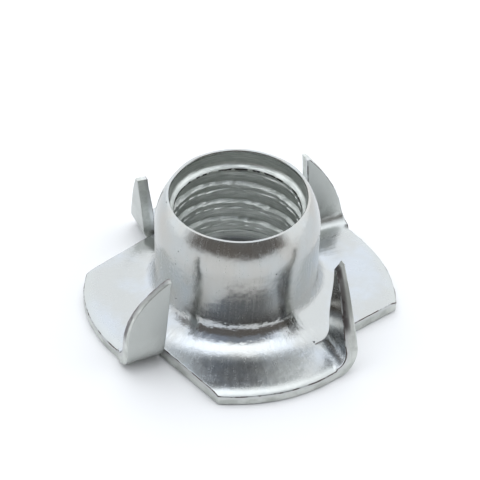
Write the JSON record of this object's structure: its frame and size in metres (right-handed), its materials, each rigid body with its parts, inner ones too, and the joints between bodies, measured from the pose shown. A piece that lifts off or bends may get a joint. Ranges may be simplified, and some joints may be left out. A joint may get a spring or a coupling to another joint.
{
  "type": "tee nut",
  "caption": "Pressed steel tee nut: a threaded barrel on a pinwheel flange whose sheared petals end in upright prongs that bite into wood.",
  "frame": {"origin": "on the barrel's axis, in the plane of the flange's flat underside", "axes": "+Z along the barrel, from the flange towards the mouth where the screw enters; the first slit's inner end lies at -45 degrees from +X"},
  "size_m": [0.0132, 0.0132, 0.0055],
  "materials": {
    "zinc_plated_steel": "bright zinc plate, satin, with duller sheared edges"
  },
  "bodies": {
    "root": {"tee_nut": "zinc_plated_steel"}
  },
  "joints": []
}
